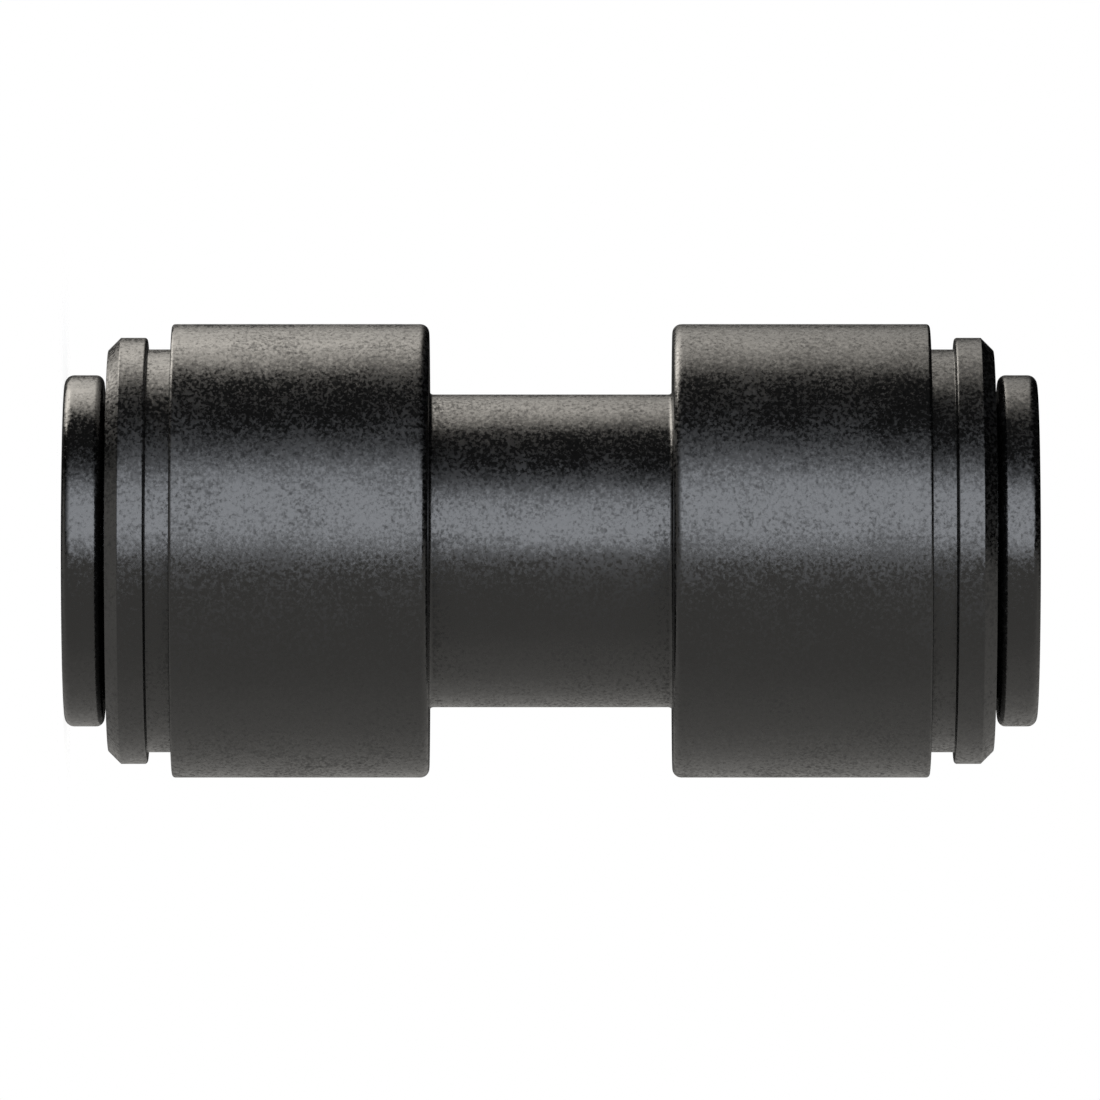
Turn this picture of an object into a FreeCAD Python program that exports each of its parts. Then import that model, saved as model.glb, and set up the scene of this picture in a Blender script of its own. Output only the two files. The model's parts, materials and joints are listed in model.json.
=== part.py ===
import FreeCAD, Part
import math
import os

import Sketcher

# A straight push-in connector for two plastic tubes, standing on one end.
# Both ends are alike: a moulded body holds a seal ring and a welded end cap, and a collet with
# spring fingers slides in the cap. Each finger carries one steel tooth that bites the tube.
# Millimetres and degrees. Z is the tube axis, and the origin is the middle of the tube stop.

SIZES = (
    # tube and waterway
    ("tube_diameter", 12.0, "outside diameter of the tube that each end takes"),
    ("waterway_diameter", 9.5, "passage through the tube stop"),
    ("stop_thickness", 1.2, "ring between the two tube ends"),
    ("stop_round", 0.3, "edge of the tube stop"),
    ("pilot_clearance", 0.075, "radial room round the tube's end in the body"),
    ("pilot_lead", 0.4, "bevel that guides the tube into the body"),
    # moulded body
    ("neck_wall", 1.65, "wall round the tube between the drums"),
    ("neck_length", 12.0, "distance between the two drums"),
    ("neck_round", 0.12, "root of the neck at each drum"),
    ("web_thickness", 1.8, "drum's inner wall, under the seal ring"),
    ("drum_wall", 1.23, "wall round the end cap"),
    ("drum_inner_round", 0.43, "drum's edge at the neck"),
    ("drum_outer_round", 0.17, "drum's edge at the end cap"),
    ("socket_lead", 0.12, "bevel at the mouth that takes the end cap"),
    # seal ring
    ("seal_section", 2.5, "thickness of the seal ring"),
    ("seal_squeeze", 0.3, "how much the tube flattens the seal ring"),
    ("seal_side_play", 0.4, "spare length of the seal ring's pocket"),
    ("seal_fit", 0.02, "radial room round the seal ring"),
    # end cap
    ("cap_wall", 1.3, "wall of the end cap round the finger heads"),
    ("cap_fit", 0.02, "radial room between the end cap and the body"),
    ("cap_lead", 0.3, "bevel on the end cap's inner end"),
    ("cap_land", 0.85, "straight bore at the end cap's inner end"),
    ("throat_length", 4.25, "straight bore in which the collet slides"),
    ("throat_lead", 0.25, "bevel at the mouth of the end cap"),
    ("seat_angle", 25.0, "slope of the cone that closes the fingers"),
    ("groove_width", 1.2, "groove that a clip-on cover holds in"),
    ("cover_step", 0.575, "height of the end cap's rim over the groove"),
    ("rim_thickness", 1.95, "end cap's rim"),
    ("rim_bevel", 0.63, "bevel on the rim's outer edge"),
    ("rim_round", 0.15, "rim's edge at the groove"),
    # collet
    ("collet_clearance", 0.1, "radial room round the tube in the collet"),
    ("collet_lead", 0.5, "bevel at the collet's mouth"),
    ("sleeve_wall", 1.15, "wall of the collet"),
    ("sleeve_clearance", 0.125, "radial room between the collet and the end cap"),
    ("flange_lip", 1.425, "height of the push flange over the sleeve"),
    ("flange_thickness", 1.95, "push flange"),
    ("flange_round", 0.47, "edges of the push flange"),
    ("flange_root_round", 0.15, "root of the push flange"),
    ("rest_gap", 0.2, "flange to end cap, with no tube in"),
    ("travel_out", 1.5, "how far the collet comes out before its heads seat"),
    ("seat_clearance", 0.05, "room left at the seat with the collet out"),
    # spring fingers
    ("finger_count", 8, "fingers, and steel teeth, of one collet"),
    ("slot_width", 1.1, "gap between two fingers"),
    ("slot_start", 1.6, "flange to the round end of each slot"),
    ("finger_relief", 0.25, "how much thinner the fingers are inside"),
    ("head_step", 1.2, "height of a finger's head over the sleeve"),
    ("head_clearance", 0.2, "radial room round the finger heads"),
    ("head_land", 1.45, "straight part of a finger's head"),
    ("tip_taper", 1.2, "length of the tapered finger tip"),
    ("tip_drop", 0.9, "how much the tip narrows"),
    ("tip_gap", 0.4, "finger tips to the seal ring's pocket"),
    # steel teeth
    ("tooth_thickness", 0.35, "steel blade"),
    ("tooth_bite", 0.15, "how far the blade's edge reaches into the tube"),
    ("tooth_bevel", 0.4, "ground part of the blade, along its width"),
    ("tooth_cover", 0.85, "plastic left outside the blade"),
    ("tooth_rise", 0.15, "blade's edge over the end of the tip taper"),
    ("tooth_lean", 35.0, "blade's lean towards the tube stop"),
    ("tooth_span", 26.0, "angle that one blade takes up"),
    ("tooth_fit", 0.02, "room round the blade in its slot"),
)

# Radii, from the tube outwards. Each is an expression of the sheet's cells.
TUBE_R = "sizes.tube_diameter / 2"
WATERWAY_R = "sizes.waterway_diameter / 2"
PILOT_R = f"{TUBE_R} + sizes.pilot_clearance"
NECK_R = f"{PILOT_R} + sizes.neck_wall"
POCKET_R = f"{TUBE_R} + sizes.seal_section - sizes.seal_squeeze"
GUIDE_R = f"{TUBE_R} + sizes.collet_clearance"
RELIEF_R = f"{GUIDE_R} + sizes.finger_relief"
SLEEVE_R = f"{GUIDE_R} + sizes.sleeve_wall"
FLANGE_R = f"{SLEEVE_R} + sizes.flange_lip"
THROAT_R = f"{SLEEVE_R} + sizes.sleeve_clearance"
HEAD_R = f"{SLEEVE_R} + sizes.head_step"
TIP_R = f"{HEAD_R} - sizes.tip_drop"
CHAMBER_R = f"{HEAD_R} + sizes.head_clearance"
SPIGOT_R = f"{CHAMBER_R} + sizes.cap_wall"
SOCKET_R = f"{SPIGOT_R} + sizes.cap_fit"
RIM_R = f"{SPIGOT_R} + sizes.cover_step"
DRUM_R = f"{SOCKET_R} + sizes.drum_wall"
TOOTH_EDGE_R = f"{TUBE_R} - sizes.tooth_bite"
TOOTH_BACK_R = f"{HEAD_R} - sizes.tooth_cover"

# Levels along the axis, from the middle of the tube stop outwards.
STOP_FACE = "sizes.stop_thickness / 2"
NECK_END = "sizes.neck_length / 2"
POCKET_FLOOR = f"{NECK_END} + sizes.web_thickness"
POCKET_MOUTH = f"{POCKET_FLOOR} + sizes.seal_section + sizes.seal_side_play"
TIP_END = f"{POCKET_MOUTH} + sizes.tip_gap"
HEAD_LOW = f"{TIP_END} + sizes.tip_taper"
HEAD_HIGH = f"{HEAD_LOW} + sizes.head_land"
HEAD_TOP = f"{HEAD_HIGH} + sizes.head_step / tan(sizes.seat_angle)"
SEAT = f"{HEAD_HIGH} + sizes.travel_out + sizes.seat_clearance"
SEAT_LOW = f"{SEAT} - sizes.head_clearance / tan(sizes.seat_angle)"
SEAT_HIGH = f"{SEAT} + (sizes.head_step - sizes.sleeve_clearance) / tan(sizes.seat_angle)"
CAP_END = f"{SEAT_LOW} - sizes.cap_land"
CAP_FACE = f"{SEAT_HIGH} + sizes.throat_length"
RIM_BACK = f"{CAP_FACE} - sizes.rim_thickness"
BODY_END = f"{RIM_BACK} - sizes.groove_width"
FLANGE_BACK = f"{CAP_FACE} + sizes.rest_gap"
FLANGE_FACE = f"{FLANGE_BACK} + sizes.flange_thickness"
SLOT_END = f"{FLANGE_BACK} - sizes.slot_start"
RELIEF_END = f"{SLOT_END} - sizes.slot_width"
TOOTH_EDGE = f"{HEAD_LOW} + sizes.tooth_rise"

# The lower end is the upper one turned half a turn about X.
ENDS = (("upper", 0.0), ("lower", 180.0))
TOUCH = 1e-4


def size_sheet(doc):
    """The driving dimensions, one row each: name, size, meaning."""
    sheet = doc.addObject("Spreadsheet::Sheet", "sizes")
    for row, (alias, size, meaning) in enumerate(SIZES, start=1):
        sheet.set(f"A{row}", alias)
        sheet.set(f"B{row}", str(size))
        sheet.setAlias(f"B{row}", alias)
        sheet.set(f"C{row}", meaning)
    doc.recompute()
    return sheet


def value(owner, expression):
    """What an expression of the sheet's cells comes to."""
    return float(owner.evalExpression(expression))


def origin_part(body, role):
    """One of a body's own origin planes or axes."""
    return next(o for o in body.Origin.OriginFeatures if o.Role == role)


def axial_sketch(body, name):
    """A sketch in the XZ plane: across is the radius, and up is the axis."""
    sketch = body.newObject("Sketcher::SketchObject", name)
    sketch.AttachmentSupport = [(origin_part(body, "XZ_Plane"), "")]
    sketch.MapMode = "FlatFace"
    return sketch


def hold(sketch, corner, number, expression, across):
    """Ties one coordinate of a line's start to an expression."""
    kind = "DistanceX" if across else "DistanceY"
    place = value(sketch, expression)
    index = sketch.addConstraint(Sketcher.Constraint(kind, -1, 1, number, 1, place))
    label = f"{corner}_{'across' if across else 'up'}"
    sketch.renameConstraint(index, label)
    sketch.setExpression(f"Constraints.{label}", expression)


def outline(body, name, corners):
    """A closed outline of straight lines through corners given as (label, radius, level)."""
    sketch = axial_sketch(body, name)
    places = []
    for _, radius, level in corners:
        places.append(FreeCAD.Vector(value(sketch, radius), value(sketch, level), 0))
    for start, end in zip(places, places[1:] + places[:1]):
        sketch.addGeometry(Part.LineSegment(start, end), False)
    for number in range(len(corners)):
        following = (number + 1) % len(corners)
        sketch.addConstraint(Sketcher.Constraint("Coincident", number, 2, following, 1))
    for number, (label, radius, level) in enumerate(corners):
        hold(sketch, label, number, radius, True)
        if level == "0":
            sketch.addConstraint(Sketcher.Constraint("PointOnObject", number, 1, -1))
        else:
            hold(sketch, label, number, level, False)
    return sketch


def turned(body, name, sketch, cut=False, angle=None):
    """Turns an outline about the axis: a whole turn, or an angle centred on the sketch's plane."""
    kind = "PartDesign::Groove" if cut else "PartDesign::Revolution"
    feature = body.newObject(kind, name)
    feature.Profile = sketch
    feature.ReferenceAxis = (sketch, ["V_Axis"])
    if angle is not None:
        feature.Midplane = True
        feature.setExpression("Angle", angle)
    return feature


def round_edges(feature, rings):
    """Names of the full circles about the axis that have one of the given (radius, level)s."""
    wanted = [(value(feature, radius), value(feature, level)) for radius, level in rings]
    names = []
    for number, edge in enumerate(feature.Shape.Edges, start=1):
        curve = edge.Curve
        if not isinstance(curve, Part.Circle) or abs(curve.Center.x) + abs(curve.Center.y) > TOUCH:
            continue
        for radius, level in wanted:
            if abs(curve.Radius - radius) < TOUCH and abs(curve.Center.z - level) < TOUCH:
                names.append(f"Edge{number}")
    if len(names) < len(rings):
        raise RuntimeError(f"{feature.Name} has {len(names)} of the {len(rings)} edges asked for")
    return names


def eased(body, kind, name, size, rings):
    """Rounds (Fillet) or bevels (Chamfer) the given rings of the body's last feature."""
    body.Document.recompute()
    base = body.Tip
    feature = body.newObject(f"PartDesign::{kind}", name)
    feature.Base = (base, round_edges(base, rings))
    feature.setExpression("Radius" if kind == "Fillet" else "Size", size)
    return feature


def cuts(body, feature):
    """Recomputes, and stops if a cut took nothing away."""
    body.Document.recompute()
    if feature.Shape.Volume > feature.BaseFeature.Shape.Volume - TOUCH:
        raise RuntimeError(f"{feature.Name} cuts nothing from {body.Label}")


def around(body, name, original):
    """Repeats a cut round the axis, once for each finger."""
    pattern = body.newObject("PartDesign::PolarPattern", name)
    pattern.Originals = [original]
    pattern.Axis = (origin_part(body, "Z_Axis"), [""])
    pattern.Angle = 360
    pattern.setExpression("Occurrences", "sizes.finger_count")
    body.Tip = pattern
    cuts(body, pattern)
    return pattern


def both_ends(radius, level):
    """The same ring at a level and at its mirror image, for round_edges."""
    return [(radius, level), (radius, f"0 - ({level})")]


def moulded_body(doc):
    """One piece: two drums on a neck, bored from both ends to the tube stop."""
    body = doc.addObject("PartDesign::Body", "connector_body")
    half = outline(
        body,
        "half_section",
        [
            ("stop", WATERWAY_R, "0"),
            ("neck", NECK_R, "0"),
            ("neck_root", NECK_R, NECK_END),
            ("drum_inner", DRUM_R, NECK_END),
            ("drum_outer", DRUM_R, BODY_END),
            ("socket_mouth", SOCKET_R, BODY_END),
            ("socket_floor", SOCKET_R, CAP_END),
            ("chamber_top", CHAMBER_R, CAP_END),
            ("chamber_floor", CHAMBER_R, POCKET_MOUTH),
            ("pocket_mouth", POCKET_R, POCKET_MOUTH),
            ("pocket_floor", POCKET_R, POCKET_FLOOR),
            ("pilot_mouth", PILOT_R, POCKET_FLOOR),
            ("pilot_floor", PILOT_R, STOP_FACE),
            ("stop_edge", WATERWAY_R, STOP_FACE),
        ],
    )
    upper_half = turned(body, "upper_half", half)
    both = body.newObject("PartDesign::Mirrored", "both_halves")
    both.Originals = [upper_half]
    both.MirrorPlane = (origin_part(body, "XY_Plane"), [""])
    body.Tip = both
    eased(body, "Fillet", "stop_edges", "sizes.stop_round", both_ends(WATERWAY_R, STOP_FACE))
    eased(body, "Chamfer", "pilot_leads", "sizes.pilot_lead", both_ends(PILOT_R, POCKET_FLOOR))
    eased(body, "Chamfer", "socket_leads", "sizes.socket_lead", both_ends(SOCKET_R, BODY_END))
    eased(body, "Fillet", "neck_roots", "sizes.neck_round", both_ends(NECK_R, NECK_END))
    eased(body, "Fillet", "inner_edges", "sizes.drum_inner_round", both_ends(DRUM_R, NECK_END))
    eased(body, "Fillet", "outer_edges", "sizes.drum_outer_round", both_ends(DRUM_R, BODY_END))
    return body


def end_cap(doc, end, turn):
    """The welded insert: it guides the collet and closes the fingers on its cone."""
    body = doc.addObject("PartDesign::Body", f"end_cap_{end}")
    section = outline(
        body,
        f"cap_section_{end}",
        [
            ("throat", THROAT_R, CAP_FACE),
            ("rim_face", RIM_R, CAP_FACE),
            ("rim_back", RIM_R, RIM_BACK),
            ("spigot", SPIGOT_R, RIM_BACK),
            ("spigot_end", SPIGOT_R, CAP_END),
            ("chamber_end", CHAMBER_R, CAP_END),
            ("seat_low", CHAMBER_R, SEAT_LOW),
            ("seat_high", THROAT_R, SEAT_HIGH),
        ],
    )
    turned(body, f"cap_blank_{end}", section)
    eased(body, "Chamfer", f"rim_bevel_{end}", "sizes.rim_bevel", [(RIM_R, CAP_FACE)])
    eased(body, "Chamfer", f"throat_lead_{end}", "sizes.throat_lead", [(THROAT_R, CAP_FACE)])
    eased(body, "Chamfer", f"spigot_lead_{end}", "sizes.cap_lead", [(SPIGOT_R, CAP_END)])
    eased(body, "Fillet", f"rim_edge_{end}", "sizes.rim_round", [(RIM_R, RIM_BACK)])
    body.Placement.Rotation = FreeCAD.Rotation(FreeCAD.Vector(1, 0, 0), turn)
    return body


def seal_ring(doc, end, turn):
    """A round-section ring that fills its pocket's outer wall."""
    ring = doc.addObject("Part::Torus", f"seal_ring_{end}")
    ring.setExpression("Radius1", f"{POCKET_R} - sizes.seal_fit - sizes.seal_section / 2")
    ring.setExpression("Radius2", "sizes.seal_section / 2")
    side = "" if turn == 0.0 else "0 - "
    middle = f"({POCKET_FLOOR} + ({POCKET_MOUTH})) / 2"
    ring.setExpression("Placement.Base.z", side + middle)
    return ring


def finger_slot(body, end):
    """Cuts one round-ended slot through the sleeve, half a finger's pitch from the first tooth."""
    sketch = body.newObject("Sketcher::SketchObject", f"slot_outline_{end}")
    sketch.AttachmentSupport = [(origin_part(body, "XZ_Plane"), "")]
    sketch.MapMode = "FlatFace"
    sketch.AttachmentOffset = FreeCAD.Placement(
        FreeCAD.Vector(0, 0, 0), FreeCAD.Rotation(FreeCAD.Vector(0, 1, 0), 1)
    )
    sketch.setExpression("AttachmentOffset.Rotation.Angle", "90 + 180 / sizes.finger_count")
    foot_level = f"{TIP_END} - sizes.tip_gap"
    crown_level = f"{SLOT_END} - sizes.slot_width / 2"
    half = value(sketch, "sizes.slot_width / 2")
    low = value(sketch, foot_level)
    high = value(sketch, crown_level)
    left_low = FreeCAD.Vector(-half, low, 0)
    right_low = FreeCAD.Vector(half, low, 0)
    left_high = FreeCAD.Vector(-half, high, 0)
    right_high = FreeCAD.Vector(half, high, 0)
    crown = Part.Circle(FreeCAD.Vector(0, high, 0), FreeCAD.Vector(0, 0, 1), half)
    sketch.addGeometry(Part.LineSegment(left_low, right_low), False)
    sketch.addGeometry(Part.LineSegment(right_low, right_high), False)
    sketch.addGeometry(Part.ArcOfCircle(crown, 0, math.pi), False)
    sketch.addGeometry(Part.LineSegment(left_high, left_low), False)
    foot, right, arc, left = range(4)
    for constraint in (
        Sketcher.Constraint("Coincident", foot, 2, right, 1),
        Sketcher.Constraint("Tangent", right, 2, arc, 1),
        Sketcher.Constraint("Tangent", arc, 2, left, 1),
        Sketcher.Constraint("Coincident", left, 2, foot, 1),
        Sketcher.Constraint("Horizontal", foot),
        Sketcher.Constraint("Vertical", left),
        Sketcher.Constraint("PointOnObject", arc, 3, -2),
    ):
        sketch.addConstraint(constraint)
    width = sketch.addConstraint(Sketcher.Constraint("DistanceX", foot, 1, foot, 2, 2 * half))
    sketch.renameConstraint(width, "slot_width")
    sketch.setExpression("Constraints.slot_width", "sizes.slot_width")
    level = sketch.addConstraint(Sketcher.Constraint("DistanceY", -1, 1, arc, 3, high))
    sketch.renameConstraint(level, "crown_level")
    sketch.setExpression("Constraints.crown_level", crown_level)
    hold(sketch, "foot", foot, foot_level, False)
    slot = body.newObject("PartDesign::Pocket", f"finger_slot_{end}")
    slot.Profile = sketch
    slot.Type = "Length"
    slot.setExpression("Length", CHAMBER_R)
    cuts(body, slot)
    return slot


def tooth_slot(body, end):
    """Cuts one finger's slot for its steel tooth."""
    slack = "sizes.tooth_fit / cos(sizes.tooth_lean)"
    back = f"{TOOTH_BACK_R} + sizes.tooth_fit"
    rise = f"({back} - ({TOOTH_EDGE_R})) * tan(sizes.tooth_lean)"
    depth = f"(sizes.tooth_thickness + 2 * sizes.tooth_fit) / cos(sizes.tooth_lean)"
    sketch = outline(
        body,
        f"tooth_slot_section_{end}",
        [
            ("mouth_high", TOOTH_EDGE_R, f"{TOOTH_EDGE} + {slack}"),
            ("back_high", back, f"{TOOTH_EDGE} + {slack} + {rise}"),
            ("back_low", back, f"{TOOTH_EDGE} + {slack} + {rise} - {depth}"),
            ("mouth_low", TOOTH_EDGE_R, f"{TOOTH_EDGE} + {slack} - {depth}"),
        ],
    )
    side_room = f"2 * sizes.tooth_fit / ({TOOTH_EDGE_R}) * 180 / pi"
    slot = turned(
        body, f"tooth_slot_{end}", sketch, cut=True, angle=f"sizes.tooth_span + {side_room}"
    )
    cuts(body, slot)
    return slot


def collet(doc, end, turn):
    """The gripping collet: push flange, sleeve, and spring fingers with coned heads."""
    body = doc.addObject("PartDesign::Body", f"collet_{end}")
    section = outline(
        body,
        f"collet_section_{end}",
        [
            ("mouth", GUIDE_R, FLANGE_FACE),
            ("flange_face", FLANGE_R, FLANGE_FACE),
            ("flange_back", FLANGE_R, FLANGE_BACK),
            ("flange_root", SLEEVE_R, FLANGE_BACK),
            ("head_top", SLEEVE_R, HEAD_TOP),
            ("head_high", HEAD_R, HEAD_HIGH),
            ("head_low", HEAD_R, HEAD_LOW),
            ("tip", TIP_R, TIP_END),
            ("tip_inside", RELIEF_R, TIP_END),
            ("relief_end", RELIEF_R, RELIEF_END),
            ("guide_end", GUIDE_R, RELIEF_END),
        ],
    )
    turned(body, f"collet_blank_{end}", section)
    eased(body, "Chamfer", f"mouth_lead_{end}", "sizes.collet_lead", [(GUIDE_R, FLANGE_FACE)])
    eased(
        body,
        "Fillet",
        f"flange_edges_{end}",
        "sizes.flange_round",
        [(FLANGE_R, FLANGE_FACE), (FLANGE_R, FLANGE_BACK)],
    )
    root = [(SLEEVE_R, FLANGE_BACK)]
    eased(body, "Fillet", f"flange_root_{end}", "sizes.flange_root_round", root)
    around(body, f"finger_slots_{end}", finger_slot(body, end))
    around(body, f"tooth_slots_{end}", tooth_slot(body, end))
    body.Placement.Rotation = FreeCAD.Rotation(FreeCAD.Vector(1, 0, 0), turn)
    return body


def grip_tooth(doc, end, turn, number, pitch):
    """One steel blade, ground to an edge that follows the tube."""
    body = doc.addObject("PartDesign::Body", f"grip_tooth_{end}_{number + 1}")
    rise = f"({TOOTH_BACK_R} - ({TOOTH_EDGE_R})) * tan(sizes.tooth_lean)"
    depth = "sizes.tooth_thickness / cos(sizes.tooth_lean)"
    bevel_rise = "sizes.tooth_bevel * tan(sizes.tooth_lean)"
    section = outline(
        body,
        f"tooth_section_{end}_{number + 1}",
        [
            ("edge", TOOTH_EDGE_R, TOOTH_EDGE),
            ("back_high", TOOTH_BACK_R, f"{TOOTH_EDGE} + {rise}"),
            ("back_low", TOOTH_BACK_R, f"{TOOTH_EDGE} + {rise} - {depth}"),
            (
                "bevel_end",
                f"{TOOTH_EDGE_R} + sizes.tooth_bevel",
                f"{TOOTH_EDGE} + {bevel_rise} - {depth}",
            ),
        ],
    )
    turned(body, f"blade_{end}_{number + 1}", section, angle="sizes.tooth_span")
    spin = FreeCAD.Rotation(FreeCAD.Vector(0, 0, 1), number * pitch)
    flip = FreeCAD.Rotation(FreeCAD.Vector(1, 0, 0), turn)
    body.Placement.Rotation = flip.multiply(spin)
    return body


def write_steps(doc, parts):
    """Stops on any failed object, then writes one file for each sub-part."""
    doc.recompute()
    for thing in doc.Objects:
        if "Invalid" in thing.State or "Error" in thing.State:
            raise RuntimeError(f"{thing.Label} failed: {thing.State}")
    for part in parts:
        if part.Shape.isNull() or not part.Shape.isValid() or len(part.Shape.Solids) != 1:
            raise RuntimeError(f"{part.Label} is not one valid solid")
    os.makedirs("parts", exist_ok=True)
    for part in parts:
        part.Shape.exportStep(f"parts/{part.Label}.step")


def main():
    doc = FreeCAD.newDocument("straight_connector")
    sheet = size_sheet(doc)
    count = int(sheet.finger_count)
    parts = [moulded_body(doc)]
    for end, turn in ENDS:
        parts.append(end_cap(doc, end, turn))
        parts.append(seal_ring(doc, end, turn))
        parts.append(collet(doc, end, turn))
        for number in range(count):
            parts.append(grip_tooth(doc, end, turn, number, 360 / count))
    write_steps(doc, parts)
    return parts


parts = main()
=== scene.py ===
import json
import math

import bmesh
import bpy
from mathutils import Matrix, Vector


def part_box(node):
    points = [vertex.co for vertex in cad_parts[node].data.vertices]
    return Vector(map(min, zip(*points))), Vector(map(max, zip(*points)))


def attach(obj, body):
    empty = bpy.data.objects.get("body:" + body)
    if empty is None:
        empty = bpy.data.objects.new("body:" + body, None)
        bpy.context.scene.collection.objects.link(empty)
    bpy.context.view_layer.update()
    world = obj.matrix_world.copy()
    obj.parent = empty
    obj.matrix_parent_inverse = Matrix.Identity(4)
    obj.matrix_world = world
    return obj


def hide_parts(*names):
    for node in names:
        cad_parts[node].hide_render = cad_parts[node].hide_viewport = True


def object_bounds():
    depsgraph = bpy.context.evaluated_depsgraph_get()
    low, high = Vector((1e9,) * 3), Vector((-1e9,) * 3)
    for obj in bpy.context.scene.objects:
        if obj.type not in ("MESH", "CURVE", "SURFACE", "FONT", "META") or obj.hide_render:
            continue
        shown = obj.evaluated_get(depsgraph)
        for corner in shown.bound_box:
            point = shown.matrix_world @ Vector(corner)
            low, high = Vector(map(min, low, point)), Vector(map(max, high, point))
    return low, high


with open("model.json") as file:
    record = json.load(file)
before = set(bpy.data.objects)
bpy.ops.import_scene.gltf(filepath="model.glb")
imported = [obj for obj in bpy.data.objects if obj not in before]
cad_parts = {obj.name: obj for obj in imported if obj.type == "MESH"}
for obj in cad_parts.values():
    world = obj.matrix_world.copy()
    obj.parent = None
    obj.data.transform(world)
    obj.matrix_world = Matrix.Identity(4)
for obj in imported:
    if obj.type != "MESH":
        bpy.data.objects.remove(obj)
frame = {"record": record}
cad_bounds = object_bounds()

# The connector's sizes are in millimetres, the studio's in metres, and angles are in degrees.
# The connector stands on one end, so its axis is Z. The photograph shows it lying, with +Z to the
# right and -X upwards. Radii count from the axis and levels from the connector's middle.
MM = 0.001


def corner_mm(node, corner):
    """One corner of a node's box: 0 the lowest, 1 the highest."""
    return Vector(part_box(node)[corner]) / MM


def mount_mm(name, size):
    """A size of one of the part's mounts."""
    mounts = {mount["name"]: mount for mount in frame["record"]["mounts"]}
    return mounts[name]["dims"][size]


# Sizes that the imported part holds
BODY_TOP = corner_mm("connector_body", 1)
CAP_LOW, CAP_TOP = corner_mm("end_cap_upper", 0), corner_mm("end_cap_upper", 1)
COLLET_LOW, COLLET_TOP = corner_mm("collet_upper", 0), corner_mm("collet_upper", 1)
SEAL_LOW, SEAL_TOP = corner_mm("seal_ring_upper", 0), corner_mm("seal_ring_upper", 1)
GUIDE_R = mount_mm("tube_port_upper", "r_mm")
TUBE_R = GUIDE_R - 0.1
DRUM_R, BODY_END = BODY_TOP.x, BODY_TOP.z
RIM_R, CAP_END, CAP_FACE = CAP_TOP.x, CAP_LOW.z, CAP_TOP.z
FLANGE_R, TIP_END, FLANGE_FACE = COLLET_TOP.x, COLLET_LOW.z, COLLET_TOP.z
SEAL_R, SEAL_BOTTOM, SEAL_HIGH = SEAL_TOP.x, SEAL_LOW.z, SEAL_TOP.z

# Walls and steps inside, worked outwards from the tube
WATERWAY_R = 4.75
PILOT_R = TUBE_R + 0.075
NECK_R = PILOT_R + 1.65
POCKET_R = SEAL_R + 0.02
SLEEVE_R = GUIDE_R + 1.15
RELIEF_R = GUIDE_R + 0.25
THROAT_R = SLEEVE_R + 0.125
HEAD_R = SLEEVE_R + 1.2
TIP_R = HEAD_R - 0.9
CHAMBER_R = HEAD_R + 0.2
SPIGOT_R = CHAMBER_R + 1.3
SOCKET_R = SPIGOT_R + 0.02
TOOTH_EDGE_R = TUBE_R - 0.15
TOOTH_BACK_R = HEAD_R - 0.85

# Levels, from the middle of the connector outwards
STOP_FACE = 0.6
NECK_END = 6.0
POCKET_FLOOR = SEAL_BOTTOM - 0.2
POCKET_MOUTH = SEAL_HIGH + 0.2
SEAT_SLOPE = math.tan(math.radians(25.0))
HEAD_LOW = TIP_END + 1.2
HEAD_HIGH = HEAD_LOW + 1.45
HEAD_TOP = HEAD_HIGH + (HEAD_R - SLEEVE_R) / SEAT_SLOPE
SEAT_LOW = CAP_END + 0.85
SEAT_HIGH = CAP_FACE - 4.25
RIM_BACK = CAP_FACE - 1.95
FLANGE_BACK = FLANGE_FACE - 1.95
SLOT_END = FLANGE_BACK - 1.6
RELIEF_END = SLOT_END - 1.1
TOOTH_EDGE = HEAD_LOW + 0.15

# Fingers and steel teeth
FINGERS = 8
SLOT_WIDTH = 1.1
TOOTH_THICKNESS = 0.35
TOOTH_LEAN = math.tan(math.radians(35.0))
TOOTH_SPAN = 26.0
TOOTH_BEVEL = 0.4
# Room that a tooth has in its slot, as a gap and as a longer arc
FIT = 0.02
TOOTH_SLOT_SPAN = TOOTH_SPAN + 0.4
# The cutter of a finger slot starts inside the bore, and runs on past what it cuts
SLOT_CUTTER_R = 2.0
CUTTER_OVERRUN = 0.5

# Chamfers and bevels
PILOT_CHAMFER = 0.4
SOCKET_CHAMFER = 0.12
RIM_BEVEL = 0.63
SPIGOT_CHAMFER = 0.3
THROAT_CHAMFER = 0.25
GUIDE_CHAMFER = 0.5

# Rounds that the photograph shows
DRUM_END_ROUND = 0.17
DRUM_INNER_ROUND = 0.45
NECK_FILLET = 0.2
FLANGE_FACE_ROUND = 0.47
FLANGE_BACK_ROUND = 0.4
# Where the photograph shows a sharp edge, the moulding still has this round
EDGE = 0.07
# Rounds of the other edges, most of them hidden
SOCKET_EDGE = 0.03
CRISP_EDGE = 0.05
INNER_EDGE = 0.1
GUIDE_EDGE = 0.12
BLUNT_EDGE = 0.15
SOFT_EDGE = 0.2
STOP_EDGE = 0.3
# The line that the mould leaves on the outside and inside of a seal
FLASH = 0.012

# Faces round a turned piece, and steps round the smaller arcs
AROUND = 192
SEAL_STEPS = 64
SLOT_CROWN_STEPS = 12
TOOTH_STEPS = 10
# A round above this size has the larger number of steps
LARGE_ROUND = 0.14
LARGE_ROUND_STEPS = 10
SMALL_ROUND_STEPS = 4
# A round takes no more than this share of a side
ROUND_SHARE = 0.45
# A point beside each round holds the flat: farther out by the first share, which is of the round's
# reach along the side, and no farther than the second, which is of the side
HOLD = 0.12
HOLD_SHARE = 0.49
# Edges that bend by more than this are sharp
CREASE = 40.0
TOOTH_CREASE = 25.0
# Points that the cuts leave closer than this are merged
SLIVER = 0.0005


# Objects and outlines


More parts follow.
